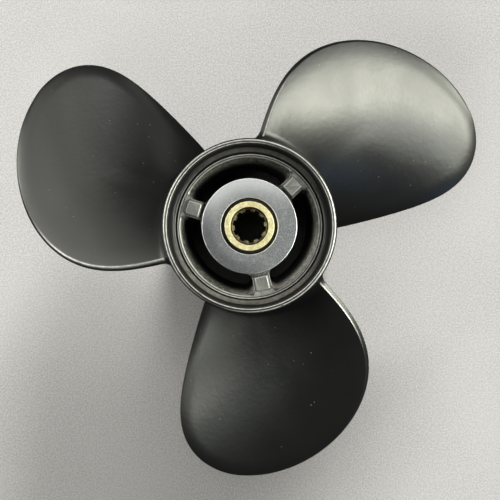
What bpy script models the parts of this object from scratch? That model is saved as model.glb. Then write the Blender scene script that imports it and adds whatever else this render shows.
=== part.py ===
"""Three-bladed propeller for a small outboard motor, with exhaust passages through its hub.

The shaft axis is Z. The part stands on its aft rim with its forward end up, so +Z points towards the gearcase. Seen
from forward of it (from +Z), the blades climb towards +Z as the angle grows: a right-hand propeller. The origin is the
centroid, on the shaft axis. Metres throughout, written as millimetres times MM.
"""

import math

import bmesh
import bpy
import numpy as np

MM = 0.001

# ---- driving dimensions, millimetres; heights are above the aft rim ----
LENGTH = 95.0  # aft rim to forward rim
CENTROID_Z = 50.3  # height of the centroid above the aft rim: the origin
BLADES = 3
FIRST_RIB = 42.7  # degrees, middle of the first rib

# blades
TIP_R = 125.5  # 251 mm blade circle
ROOT_R = 39.4  # barrel surface where the blades grow from it
ROOT_IN_R = 37.9  # the loft starts inside the barrel wall
PITCH = 281.8  # millimetres of travel a turn, at the root
PITCH_CHANGE = -43.2  # less of it at the tip
ROOT_MID_Z = 49.5  # height of the blade's middle at the root
ROOT_MID_ANGLE = 42.0  # degrees
RAKE = (-0.028, 0.019, -0.194)  # slope aft of the section's line: terms in the share of the span
TILT = 2.285  # the trailing edge stands this much higher at the tip than the pitch alone gives
TIP_ANGLE = 27.05  # degrees, where the outline closes
LEAD = (56.34, 8.9, 33.49, -42.35)  # leading edge ahead of the tip angle, degrees
TRAIL = (28.96, -11.31, 22.58, 0.62)  # trailing edge behind it, degrees
CROWN = (4.88, -2.65, -1.73)  # height of the forward side's hump: terms in the share of the span
CROWN_LEAN = 0.626  # the hump is fuller towards the trailing edge
UNDER = (2.2, -6.56, -0.97, 5.03)  # depth of the aft side's hump, hollow where below zero
DROP, DROP_LEAD, DROP_WIDE = 1.3, 0.46, 8.15  # how the forward side falls away towards the outline
NOSE_TOP, NOSE_LOW, NOSE_SLOPE = 1.2, 1.15, 60.0  # blunt leading edge: above and below its line, slope of its face
THIN_EDGE = 0.55  # half thickness at the trailing edge and the tip
FILLET = 5.0  # where blade meets barrel

# barrel and webs
RIM_R = 38.75
LAND_Z = 86.5  # machined ring land inside the forward cup
PAD_Z = 88.4  # raised pad on each rib
DISC_Z = 88.0  # forward face of the inner hub
DISC_R = 21.3
HOLE_R = 12.56  # hole in the inner hub's forward wall
BUSH_BORE_R = 17.0
BUSH_SEAT_Z = 84.8
WEB_AFT_Z = 24.0
HUB_AFT_Z = 18.0

# exhaust passages between the ribs
PASS_IN_R = 21.6
PASS_OUT_R = 31.0  # at its mouth
PASS_CLOSING = ((85.0, 0.35), (80.5, 1.4), (70.0, 2.2), (WEB_AFT_Z - 1.0, 1.8))  # height, how far the wall has closed in
RIB_HALF = 3.95  # half a rib's thickness at its forward end
RIB_DRAFT = 0.5
PASS_CORNER = 2.8
PAD_WIDTH = 5.35
PAD_IN_R = 23.3
PAD_OUT_R = 29.0

# bush and sleeve
GAP = 0.3
SLEEVE_R = 11.05
SLEEVE_FRONT_Z = 89.6
SLEEVE_AFT_Z = 15.0
LEAD_IN_R = 8.5  # conical lead-in to the spline at both ends
LEAD_IN = 3.0
LEAD_IN_END_R = 7.78
SPLINE_MINOR_R = 6.62
SPLINE_MAJOR_R = 7.55
SPLINE_TEETH = 10
SPLINE_PHASE = 6.7


def clear_scene():
    for obj in list(bpy.data.objects):
        bpy.data.objects.remove(obj, do_unlink=True)


def collection(name, hidden=False):
    made = bpy.data.collections.new(name)
    bpy.context.scene.collection.children.link(made)
    made.hide_render = hidden
    return made


def material(name, colour, metallic, roughness):
    mat = bpy.data.materials.new(name)
    mat.use_nodes = True
    shader = mat.node_tree.nodes["Principled BSDF"]
    shader.inputs["Base Color"].default_value = (*colour, 1.0)
    shader.inputs["Metallic"].default_value = metallic
    shader.inputs["Roughness"].default_value = roughness
    mat.diffuse_color = (*colour, 1.0)
    return mat


def height(z):
    return (z - CENTROID_Z) * MM


def new_object(name, mesh, where, mat=None):
    obj = bpy.data.objects.new(name, mesh)
    where.objects.link(obj)
    if mat:
        obj.data.materials.append(mat)
    return obj


def smooth(mesh, degrees=35.0):
    """Smooth shading, with edges sharper than this left crisp."""
    mesh.shade_smooth()
    mesh.set_sharp_from_angle(angle=math.radians(degrees))


def turned(name, profile, steps, where, mat=None):
    """A closed profile of (radius, height) at +X, turned once about Z by a Screw modifier and kept as a mesh."""
    mesh = bpy.data.meshes.new(name)
    points = [(r * MM, 0.0, height(z)) for r, z in profile]
    edges = [(i, (i + 1) % len(points)) for i in range(len(points))]
    mesh.from_pydata(points, edges, [])
    obj = new_object(name, mesh, where, mat)
    screw = obj.modifiers.new("turn", "SCREW")
    screw.axis = "Z"
    screw.angle = 2 * math.pi
    screw.steps = screw.render_steps = steps
    screw.use_merge_vertices = True
    screw.merge_threshold = 0.00001
    keep_evaluated(obj)
    return obj


def keep_evaluated(obj):
    """Replace an object's mesh by what its modifiers make of it."""
    bpy.context.view_layer.update()
    graph = bpy.context.evaluated_depsgraph_get()
    kept = bpy.data.meshes.new_from_object(
        obj.evaluated_get(graph), preserve_all_data_layers=True, depsgraph=graph
    )
    obj.modifiers.clear()
    obj.data = kept
    outwards(kept)


def outwards(mesh):
    work = bmesh.new()
    work.from_mesh(mesh)
    bmesh.ops.recalc_face_normals(work, faces=work.faces)
    if work.calc_volume(signed=True) < 0:
        bmesh.ops.reverse_faces(work, faces=work.faces)
    work.to_mesh(mesh)
    work.free()


def boolean(obj, other, operation):
    mod = obj.modifiers.new(operation.lower() + " " + other.name, "BOOLEAN")
    mod.operation = operation
    mod.solver = "EXACT"
    mod.object = other


def loft(name, rings, where, mat=None):
    """One closed skin through rings of equally many points, with a cap at each end."""
    count = len(rings[0])
    points = [tuple(c * MM for c in p[:2]) + (height(p[2]),) for ring in rings for p in ring]
    faces = []
    for k in range(len(rings) - 1):
        a, b = k * count, (k + 1) * count
        for i in range(count):
            j = (i + 1) % count
            faces.append((a + i, a + j, b + j, b + i))
    faces.append(tuple(range(count))[::-1])
    faces.append(tuple(range((len(rings) - 1) * count, len(rings) * count)))
    mesh = bpy.data.meshes.new(name)
    mesh.from_pydata(points, [], faces)
    outwards(mesh)
    return new_object(name, mesh, where, mat)


# ---- blade ----
def series(terms, t):
    return sum(c * t**k for k, c in enumerate(terms))


def share(r):
    """Share of the blade's span at this radius: 0 at the root, 1 at the tip."""
    return min(max((r - ROOT_R) / (TIP_R - ROOT_R), 0.0), 1.0)


def edge_angles(r):
    """Leading and trailing edge angles in degrees at this radius."""
    t = share(r)
    close = math.sqrt(max(1.0 - t, 0.0))
    return TIP_ANGLE + close * series(LEAD, t), TIP_ANGLE - close * series(TRAIL, t)


def blade_z(r, degrees, end):
    """Height of the section's straight line; end is -0.5 at its leading end and 0.5 at its trailing end."""
    t = share(r)
    rake = (TIP_R - ROOT_R) * series((0.0, RAKE[0], RAKE[1] / 2, RAKE[2] / 3), t)
    turn = (PITCH + PITCH_CHANGE * t) * (degrees - ROOT_MID_ANGLE) / 360.0
    close = min(2.0 * math.sqrt(1.0 - t), 1.0)
    return ROOT_MID_Z + turn + rake + end * TILT * t * close * (2.0 - close)


def slope_factor(r, which):
    """How far the outline leans away from the radial direction here: 1 where it runs straight out."""
    step = 0.05
    a = math.radians(edge_angles(max(r - step, ROOT_R))[which]) * r
    b = math.radians(edge_angles(min(r + step, TIP_R - 1e-6))[which]) * r
    return math.sqrt(1.0 + ((b - a) / (2 * step)) ** 2)


def outline():
    """Plan of the blade's edge: points, whether each is on the leading side, and its share of the span."""
    points, side, along = [], [], []
    for k in range(301):
        t = 1.0 - (1.0 - k / 300.0) ** 2
        r = ROOT_R + (TIP_R - ROOT_R) * t
        for angle, leading in zip(edge_angles(r), (1.0, 0.0)):
            a = math.radians(angle)
            points.append((r * math.cos(a), r * math.sin(a)))
            side.append(leading)
            along.append(t)
    return np.array(points), side, along


def ease(x, low, high):
    t = min(max((x - low) / (high - low), 0.0), 1.0)
    return t * t * (3.0 - 2.0 * t)


def fillet_at(r):
    out = r - ROOT_R
    if out >= FILLET:
        return 0.0
    up = FILLET - max(out, 0.0)
    return FILLET - math.sqrt(FILLET**2 - up**2)


def blade_ring(r, base, edge):
    """Points of the blade's section on the cylinder of radius r, forward side from leading to trailing edge, then back.

    The section is drawn on the unrolled cylinder (distance round it, height) and wrapped back on. Its forward side
    carries the hump, and falls away near the outline. Its leading edge is a blunt face, its trailing edge thin.
    """
    t = share(r)
    lead, trail = edge_angles(r)
    start = np.array([math.radians(lead) * r, blade_z(r, lead, -0.5)])
    end = np.array([math.radians(trail) * r, blade_z(r, trail, 0.5)])
    chord = float(np.linalg.norm(end - start))
    along = (end - start) / chord
    up = np.array([along[1], -along[0]])
    if up[1] < 0:
        up = -up
    flat = max(abs(along[0]), 0.5)
    near_lead = [x * slope_factor(r, 0) for x in (0.0, 0.6, 1.3, 3.4)]
    near_trail = [x * slope_factor(r, 1) for x in (5.2, 1.7, 0.35, 0.0)]
    squeeze_l = min(1.0, 0.35 * chord / near_lead[-1])
    squeeze_t = min(1.0, 0.35 * chord / near_trail[0])
    xs = [x * squeeze_l for x in near_lead]
    first, last = xs[-1], chord - near_trail[0] * squeeze_t
    xs += [first + (last - first) * k / 7.0 for k in range(1, 7)]
    xs += [chord - x * squeeze_t for x in near_trail]
    points, side, place = edge
    flare = fillet_at(r)
    forward, aft = [], []
    for k, x in enumerate(xs):
        s = x / chord
        p = start + along * x
        a = p[0] / r
        gaps = np.hypot(points[:, 0] - max(r, ROOT_R) * math.cos(a), points[:, 1] - max(r, ROOT_R) * math.sin(a))
        nearest = int(gaps.argmin())
        d = 0.0 if k in (0, len(xs) - 1) else float(gaps[nearest])
        u = place[nearest]
        inward = d * (1.0 + (1.0 / flat - 1.0) * (1.0 - u * u))
        hump = 4 * s * (1 - s)
        rise = flat * series(CROWN, t) * hump * (1 + CROWN_LEAN * (s - 0.5))
        belly = series(UNDER, t) * hump * min(1.0, chord / 40.0)
        near = 1.0 - (1.0 - min(d / DROP_WIDE, 1.0)) ** 2
        nose = side[nearest] * (1.0 - ease(u, 0.72, 0.97))
        low = (NOSE_LOW - 0.5 * ease(u, 0.45, 0.9)) * nose + THIN_EDGE * (1.0 - nose)
        top = NOSE_TOP * nose + low * (1.0 - nose) + (DROP_LEAD * nose + DROP * (1.0 - nose)) * near + rise
        face = 0.3 - low + math.tan(math.radians(NOSE_SLOPE)) * inward
        curl = low - math.sqrt(max(low**2 - (low - min(inward, low)) ** 2, 0.0))
        h = min(face, top) * nose + (top - curl) * (1.0 - nose)
        g = -(low + belly * near) + curl * (1.0 - nose)
        if d == 0.0:
            h = g = (0.3 - low) * nose
        grow = flare * (0.45 + 0.55 * min(1.0, s / 0.2)) * min(1.0, inward)
        p = p + along * (flare * 0.62 * (2 * s - 1) ** 5)
        forward.append(p + up * (h + grow))
        aft.append(p + up * (g - grow))
    ring = []
    for p in forward + aft[-2:0:-1]:
        angle = p[0] / r + math.radians(base)
        ring.append((r * math.cos(angle), r * math.sin(angle), float(p[1])))
    return ring


def blade_radii(spans):
    """Close together in the root fillet and towards the tip."""
    radii = [ROOT_IN_R, ROOT_R + 0.05]
    radii += [ROOT_R + FILLET * f for f in (0.12, 0.3, 0.6, 1.0)]
    first = radii[-1]
    radii += [
        first + (TIP_R - first) * math.sin(0.5 * math.pi * i / spans)
        for i in range(1, spans)
    ]
    widest = TIP_R - 20.1
    return sorted(radii + [widest, TIP_R - 0.3, TIP_R - 0.03])


def blade(name, base, where):
    edge = outline()
    return loft(name, [blade_ring(r, base, edge) for r in blade_radii(12)], where)


# ---- exhaust passage, a kidney-shaped hole with rounded corners ----
def passage_ring(z, start, side):
    """The outline of one passage at this height, between the rib at angle start and the next one."""
    deep = min(max((LAND_Z - z) / (LAND_Z - WEB_AFT_Z), 0.0), 1.0)
    inner = PASS_IN_R + 0.2 * deep
    outer = PASS_OUT_R - float(np.interp(-z, [-h for h, _ in PASS_CLOSING], [w for _, w in PASS_CLOSING], left=0.0))
    rib = RIB_HALF + RIB_DRAFT * deep
    c = PASS_CORNER

    def straight(r, off):
        """Angle of the line parallel to a rib's middle at this offset, where it has radius r."""
        return math.asin(off / r)

    points = []
    # corners by their centres: offset from the rib by rib + c, radius outer - c or inner + c
    low, high = math.radians(start), math.radians(start + 360.0 / BLADES)
    for corner_r, from_low, first in (
        (inner + c, True, "in"),
        (outer - c, True, "out"),
        (outer - c, False, "out"),
        (inner + c, False, "in"),
    ):
        offset = straight(corner_r, rib + c)
        centre_angle = low + offset if from_low else high - offset
        cx, cy = corner_r * math.cos(centre_angle), corner_r * math.sin(centre_angle)
        middle = low if from_low else high
        to_rib = middle - 0.5 * math.pi if from_low else middle + 0.5 * math.pi
        radial = centre_angle if first == "out" else centre_angle + math.pi
        start_a, end_a = (to_rib, radial)
        if (first == "in") == from_low:
            start_a, end_a = radial, to_rib
        turn = (end_a - start_a + math.pi) % (2 * math.pi) - math.pi
        for i in range(5):
            a = start_a + turn * i / 4
            points.append((cx + c * math.cos(a), cy + c * math.sin(a), z))
        if first == "out" and from_low:
            a0, a1 = centre_angle, high - offset
            for i in range(1, side):
                a = a0 + (a1 - a0) * i / side
                points.append((outer * math.cos(a), outer * math.sin(a), z))
    # back along the inner wall
    offset = straight(inner + c, rib + c)
    a0, a1 = high - offset, low + offset
    for i in range(1, side):
        a = a0 + (a1 - a0) * i / side
        points.append((inner * math.cos(a), inner * math.sin(a), z))
    return points


def passage(name, start, where):
    heights = [LAND_Z + 0.9] + [z for z, _ in PASS_CLOSING]
    return loft(name, [passage_ring(z, start, 14) for z in heights], where)


def pad(name, angle, where):
    """The raised machined pad on a rib, drafted on all four sides."""
    rings = []
    for z, grow in ((LAND_Z - 1.5, 0.55), (PAD_Z - 0.3, 0.12), (PAD_Z, 0.0)):
        w, lo, hi = 0.5 * PAD_WIDTH + grow, PAD_IN_R - grow, PAD_OUT_R + grow
        a = math.radians(angle)
        ring = []
        for r, s in ((lo, -w), (hi, -w), (hi, w), (lo, w)):
            ring.append(
                (
                    r * math.cos(a) - s * math.sin(a),
                    r * math.sin(a) + s * math.cos(a),
                    z,
                )
            )
        rings.append(ring)
    return loft(name, rings, where)


def casting_profile():
    """Outer side from the forward rim down to the aft rim, then up the inside."""
    outer = [
        (36.75, LENGTH),
        (37.4, LENGTH),
        (38.1, LENGTH - 0.18),
        (38.55, LENGTH - 0.6),
        (RIM_R, LENGTH - 1.35),
        (39.15, 84.0),
        (39.5, 64.0),
        (39.6, 40.0),
        (39.5, 20.0),
        (40.1, 11.0),
        (41.5, 4.5),
        (42.9, 1.2),
        (43.0, 0.5),
        (42.6, 0.0),
    ]
    inner = [
        (39.9, 0.0),
        (39.2, 0.6),
        (37.2, 8.0),
        (35.6, 16.0),
        (34.6, WEB_AFT_Z),
        (DISC_R + 0.9, WEB_AFT_Z),
        (DISC_R + 0.5, HUB_AFT_Z + 0.6),
        (DISC_R, HUB_AFT_Z),
        (BUSH_BORE_R + 0.5, HUB_AFT_Z),
        (BUSH_BORE_R, HUB_AFT_Z + 0.6),
        (BUSH_BORE_R, BUSH_SEAT_Z),
        (HOLE_R, BUSH_SEAT_Z),
        (HOLE_R, DISC_Z - 0.3),
        (HOLE_R + 0.3, DISC_Z),
        (DISC_R - 0.4, DISC_Z),
        (DISC_R, DISC_Z - 0.4),
        (DISC_R + 0.15, LAND_Z - 1.2),
        (DISC_R + 1.0, LAND_Z - 1.2),
        (DISC_R + 1.3, LAND_Z - 0.25),
        (PASS_OUT_R, LAND_Z + 0.25),
        (32.4, LAND_Z + 0.4),
        (32.52, LAND_Z - 0.8),
        (32.95, LAND_Z - 0.8),
        (33.12, LAND_Z + 0.75),
        (34.1, LAND_Z + 1.3),
        (34.95, LAND_Z + 2.0),
        (35.4, LAND_Z + 3.1),
        (36.0, LENGTH - 1.0),
        (36.2, LENGTH - 0.35),
    ]
    return outer + inner


def spline_cutter(name, where):
    """A prism whose outline has a groove between each pair of teeth."""
    outline = []
    step = 360.0 / SPLINE_TEETH
    for k in range(SPLINE_TEETH):
        tooth = SPLINE_PHASE + k * step
        for r, a in (
            (SPLINE_MAJOR_R, -9.5),
            (SPLINE_MINOR_R, -7.5),
            (SPLINE_MINOR_R, 0.0),
            (SPLINE_MINOR_R, 7.5),
            (SPLINE_MAJOR_R, 9.5),
            (SPLINE_MAJOR_R, 0.5 * step),
        ):
            b = math.radians(tooth + a)
            outline.append((r * math.cos(b), r * math.sin(b)))
    rings = [
        [(x, y, z) for x, y in outline]
        for z in (SLEEVE_AFT_Z - 2.0, SLEEVE_FRONT_Z + 2.0)
    ]
    return loft(name, rings, where)


clear_scene()
parts = collection("outboard_propeller")
cutters = collection("cutters", hidden=True)

black = material("satin_black_paint", (0.018, 0.018, 0.019), 0.0, 0.42)
rubber = material("black_rubber", (0.02, 0.02, 0.02), 0.0, 0.8)
brass = material("brass", (0.78, 0.62, 0.26), 1.0, 0.35)

# the casting: barrel, webs and inner hub turned in one, then passages cut and blades and pads joined on
casting = turned("cast_propeller", casting_profile(), 72, parts, black)
helpers = []
for k in range(BLADES):
    turn = k * 360.0 / BLADES
    hole = passage(f"passage_{k + 1}", FIRST_RIB + turn, cutters)
    boolean(casting, hole, "DIFFERENCE")
    helpers.append(hole)
for k in range(BLADES):
    turn = k * 360.0 / BLADES
    for piece in (
        pad(f"pad_{k + 1}", FIRST_RIB + turn, cutters),
        blade(f"blade_{k + 1}", turn, cutters),
    ):
        boolean(casting, piece, "UNION")
        helpers.append(piece)
keep_evaluated(casting)
smooth(casting.data)

bush_profile = [
    (SLEEVE_R + GAP + 0.35, DISC_Z - 0.7),
    (HOLE_R - GAP - 0.25, DISC_Z - 0.7),
    (HOLE_R - GAP, DISC_Z - 1.0),
    (HOLE_R - GAP, BUSH_SEAT_Z - GAP),
    (BUSH_BORE_R - GAP - 0.8, BUSH_SEAT_Z - GAP),
    (BUSH_BORE_R - GAP, BUSH_SEAT_Z - GAP - 0.8),
    (BUSH_BORE_R - GAP, HUB_AFT_Z + 3.2),
    (BUSH_BORE_R - GAP - 0.8, HUB_AFT_Z + 2.4),
    (SLEEVE_R + GAP + 0.6, HUB_AFT_Z + 2.4),
    (SLEEVE_R + GAP, HUB_AFT_Z + 3.0),
    (SLEEVE_R + GAP, DISC_Z - 1.05),
]
bush = turned("rubber_bush", bush_profile, 48, parts, rubber)
smooth(bush.data)

sleeve_profile = [
    (SLEEVE_R - 0.35, SLEEVE_FRONT_Z),
    (SLEEVE_R, SLEEVE_FRONT_Z - 0.35),
    (SLEEVE_R, SLEEVE_AFT_Z + 0.35),
    (SLEEVE_R - 0.35, SLEEVE_AFT_Z),
    (LEAD_IN_R, SLEEVE_AFT_Z),
    (LEAD_IN_END_R, SLEEVE_AFT_Z + LEAD_IN),
    (SPLINE_MINOR_R - 0.5, SLEEVE_AFT_Z + LEAD_IN + 0.8),
    (SPLINE_MINOR_R - 0.5, SLEEVE_FRONT_Z - LEAD_IN - 0.8),
    (LEAD_IN_END_R, SLEEVE_FRONT_Z - LEAD_IN),
    (LEAD_IN_R, SLEEVE_FRONT_Z),
]
sleeve = turned("splined_sleeve", sleeve_profile, 60, parts, brass)
cutter = spline_cutter("spline_form", cutters)
boolean(sleeve, cutter, "DIFFERENCE")
helpers.append(cutter)
keep_evaluated(sleeve)
smooth(sleeve.data)

for obj in helpers:
    obj.hide_render = True
    obj.display_type = "WIRE"
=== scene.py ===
"""The looks of the outboard motor propeller: fine casting, rubber bush and splined brass sleeve on a pale floor.

Lengths in this file are millimetres above the aft rim until place() turns them into metres in the row frame.
"""

import math

import bmesh
import bpy
import numpy as np
from mathutils import Matrix


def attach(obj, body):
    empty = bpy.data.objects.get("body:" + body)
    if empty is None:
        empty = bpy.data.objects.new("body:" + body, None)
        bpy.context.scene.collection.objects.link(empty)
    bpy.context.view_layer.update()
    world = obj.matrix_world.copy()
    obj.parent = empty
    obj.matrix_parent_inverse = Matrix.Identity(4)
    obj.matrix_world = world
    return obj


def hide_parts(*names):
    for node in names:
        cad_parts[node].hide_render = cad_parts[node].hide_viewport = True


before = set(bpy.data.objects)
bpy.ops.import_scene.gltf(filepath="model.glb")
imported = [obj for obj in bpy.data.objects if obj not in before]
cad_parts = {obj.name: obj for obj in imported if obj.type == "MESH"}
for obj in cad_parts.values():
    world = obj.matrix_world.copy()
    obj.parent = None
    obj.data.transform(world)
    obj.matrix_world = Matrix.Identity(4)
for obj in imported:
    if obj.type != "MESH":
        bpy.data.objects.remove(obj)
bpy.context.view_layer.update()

MM = 0.001
CENTROID_Z = 50.3  # the row frame's origin, above the aft rim

# ---- the same driving dimensions as the part's source, millimetres ----
LENGTH = 95.0
BLADES = 3
FIRST_RIB = 42.7

TIP_R = 125.42
ROOT_R = 39.4
ROOT_IN_R = 37.9
PITCH = 281.8
PITCH_CHANGE = -43.2  # root to tip
ROOT_MID_Z = 49.5
ROOT_MID_ANGLE = 42.0
RAKE = (-0.028, 0.019, -0.194)  # slope aft of the mean line against the share of the span
TILT = 2.285
TIP_ANGLE = 27.05
LEAD = (56.34, 8.9, 33.49, -42.35)
TRAIL = (28.96, -11.31, 22.58, 0.62)
CROWN = (4.88, -2.65, -1.73)  # height of the forward side's hump, root to tip
CROWN_LEAN = 0.626
UNDER = (2.2, -6.56, -0.97, 5.03)  # depth of the aft side's hump
DROP, DROP_LEAD, DROP_WIDE = 1.3, 0.46, 8.15  # how the forward side falls away near the outline
FILLET = 5.0

RIB_HALF = 3.95
RIB_DRAFT = 0.5
PASS_IN_R = 21.6
PASS_OUT_R = 30.95
PASS_DRAFT = 1.3
PASS_CORNER = 2.8
WEB_AFT_Z = 24.0
HUB_AFT_Z = 18.0
DISC_R = 21.3
DISC_Z = 88.0
HOLE_R = 12.56
BUSH_BORE_R = 17.0
BUSH_SEAT_Z = 84.8
PAD_Z = 88.4
GAP = 0.3
SLEEVE_R = 11.05
SLEEVE_FRONT_Z = 89.6
SLEEVE_AFT_Z = 15.0
SPLINE_MINOR_R = 6.62
SPLINE_MAJOR_R = 7.55
SPLINE_TEETH = 10
SPLINE_PHASE = 6.7


# ---- small helpers ----
def place(points):
    """Millimetres above the aft rim to metres in the row frame."""
    p = np.asarray(points, float).reshape(-1, 3).copy()
    p[:, 2] -= CENTROID_Z
    return p * MM


def mesh_object(name, points, faces, hidden=False):
    mesh = bpy.data.meshes.new(name)
    mesh.from_pydata(place(points).tolist(), [], faces)
    mesh.validate()
    work = bmesh.new()
    work.from_mesh(mesh)
    bmesh.ops.recalc_face_normals(work, faces=work.faces)
    if work.calc_volume(signed=True) < 0:
        bmesh.ops.reverse_faces(work, faces=work.faces)
    work.to_mesh(mesh)
    work.free()
    obj = bpy.data.objects.new(name, mesh)
    bpy.context.scene.collection.objects.link(obj)
    obj.hide_render = hidden
    return obj


def skin(rings, closed=True):
    """Points and faces of a closed skin through rings of equally many points; caps at both ends, or joined end to end."""
    rings = [np.asarray(r, float) for r in rings]
    count = len(rings[0])
    points = np.concatenate(rings)
    faces = []
    last = len(rings) - 1
    for k in range(len(rings) if not closed else last):
        a, b = k * count, ((k + 1) % len(rings)) * count
        for i in range(count):
            j = (i + 1) % count
            faces.append((a + i, a + j, b + j, b + i))
    if closed:
        faces.append(tuple(range(count))[::-1])
        faces.append(tuple(range(last * count, (last + 1) * count)))
    return points, faces


def rounded(corners):
    """A closed outline through corners (r, z, fillet radius, segments), each rounded off by its own arc."""
    out = []
    n = len(corners)
    for i in range(n):
        r, z, radius, steps = corners[i]
        p = np.array([r, z], float)
        before = np.array(corners[i - 1][:2], float) - p
        after = np.array(corners[(i + 1) % n][:2], float) - p
        la, lb = np.linalg.norm(before), np.linalg.norm(after)
        u, v = before / la, after / lb
        cosine = float(np.clip(u @ v, -1, 1))
        half = 0.5 * math.acos(cosine)
        if radius <= 0 or math.pi - 2 * half < 0.01:
            out += [tuple(p)] * (steps + 1)
            continue
        cut = min(radius / math.tan(half), 0.48 * la, 0.48 * lb)
        radius = cut * math.tan(half)
        centre = p + (u + v) / np.linalg.norm(u + v) * (radius / math.sin(half))
        start, end = p + u * cut, p + v * cut
        a0 = math.atan2(*(start - centre)[::-1])
        a1 = math.atan2(*(end - centre)[::-1])
        turn = (a1 - a0 + math.pi) % (2 * math.pi) - math.pi
        for k in range(steps + 1):
            a = a0 + turn * k / steps
            out.append(tuple(centre + radius * np.array([math.cos(a), math.sin(a)])))
    return np.array(out)


def boolean(obj, other, operation):
    mod = obj.modifiers.new("cut", "BOOLEAN")
    mod.operation = operation
    mod.solver = "MANIFOLD"
    mod.object = other


def keep_evaluated(obj):
    bpy.context.view_layer.update()
    graph = bpy.context.evaluated_depsgraph_get()
    kept = bpy.data.meshes.new_from_object(obj.evaluated_get(graph), depsgraph=graph)
    obj.modifiers.clear()
    old = obj.data
    obj.data = kept
    bpy.data.meshes.remove(old)


def smooth(obj, degrees=32.0, weighted=True):
    obj.data.shade_smooth()
    obj.data.set_sharp_from_angle(angle=math.radians(degrees))
    if weighted:
        mod = obj.modifiers.new("weights", "WEIGHTED_NORMAL")
        mod.keep_sharp = True
        mod.mode = "FACE_AREA"
        keep_evaluated(obj)


def step01(x, a, b):
    t = np.clip((x - a) / (b - a), 0.0, 1.0)
    return t * t * (3.0 - 2.0 * t)


# ---- hub: barrel, webs and inner hub, turned, with a flatter patch of the forward cup's wall at each rib ----
LAND_OFF = (0.14, -0.24)  # the turned land and groove sit a little off the cast rim's centre
LAND_IN = (22.9, 86.25)
LAND_OUT = (32.35, 86.9)


def land_z(r):
    return LAND_IN[1] + (LAND_OUT[1] - LAND_IN[1]) * (r - LAND_IN[0]) / (
        LAND_OUT[0] - LAND_IN[0]
    )


def hub_corners(patch):
    # the cup's wall rises in a cove, a little flatter where the casting's patch is
    if patch:
        cove = [(33.12, 87.32), (33.95, 87.62), (34.6, 88.05), (35.2, 88.95), (35.6, 90.5), (35.85, 92.6)]
    else:
        cove = [(33.12, 87.25), (33.75, 87.52), (34.3, 87.95), (34.85, 88.75), (35.3, 90.2), (35.75, 92.4)]
    cove = [(r, z, 0.2 if k == 0 else 1.5, 3) for k, (r, z) in enumerate(cove)]
    return [
        (37.05, LENGTH, 0.8, 3),
        (37.75, LENGTH - 0.25, 1.5, 4),
        (38.3, LENGTH - 0.8, 1.2, 4),
        (38.6, LENGTH - 1.75, 1.5, 4),
        (39.15, 84.0, 8.0, 2),
        (39.5, 64.0, 8.0, 2),
        (39.6, 40.0, 8.0, 2),
        (39.5, 20.0, 8.0, 3),
        (40.1, 11.0, 8.0, 4),
        (41.5, 4.5, 6.0, 4),
        (42.95, 0.0, 0.6, 5),
        (39.6, 0.0, 0.5, 4),
        (37.2, 8.0, 8.0, 4),
        (35.6, 16.0, 8.0, 3),
        (34.6, WEB_AFT_Z, 2.0, 5),
        (22.3, WEB_AFT_Z, 2.5, 5),
        (DISC_R + 0.4, HUB_AFT_Z, 0.8, 4),
        (BUSH_BORE_R, HUB_AFT_Z, 0.6, 4),
        (BUSH_BORE_R, BUSH_SEAT_Z, 0.4, 2),
        (HOLE_R, BUSH_SEAT_Z, 0.2, 1),
        (HOLE_R, DISC_Z, 0.5, 5),
        (DISC_R, DISC_Z, 0.4, 6),
        (DISC_R + 0.05, 84.7, 0.5, 3),
        (LAND_IN[0], LAND_IN[1], 0.5, 3),
        (31.36, land_z(31.36), 0.05, 1),
        (31.5, land_z(31.5) - 0.08, 0.05, 1),
        (31.76, land_z(31.76) - 0.08, 0.05, 1),
        (31.9, land_z(31.9), 0.05, 1),
        (LAND_OUT[0], LAND_OUT[1], 0.3, 5),
        (32.52, 85.7, 0.1, 1),
        (32.95, 85.7, 0.1, 1),
        *cove,
        (36.38, LENGTH, 0.45, 8),
    ]


def rib_angles():
    return [FIRST_RIB + 360.0 * k / BLADES for k in range(BLADES)]


def hub_mesh():
    plain, patched = rounded(hub_corners(False)), rounded(hub_corners(True))
    half = 8.7
    rings = []
    for a in np.arange(0.0, 360.0, 1.0):
        away = min(abs((a - rib - 0.6 + 180.0) % 360.0 - 180.0) for rib in rib_angles())
        w = 1.0 - float(step01(away, half - 1.0, half + 1.0))
        line = plain * (1.0 - w) + patched * w
        c, s = math.cos(math.radians(a)), math.sin(math.radians(a))
        turned = step01(line[:, 0], 29.0, 31.0) * step01(line[:, 0], 34.2, 33.3) * step01(line[:, 1], 84.6, 85.6)
        turned = turned * step01(line[:, 1], 88.4, 87.6)
        rings.append(
            np.stack(
                [line[:, 0] * c + LAND_OFF[0] * turned, line[:, 0] * s + LAND_OFF[1] * turned, line[:, 1]],
                1,
            )
        )
    return skin(rings, closed=False)


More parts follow.
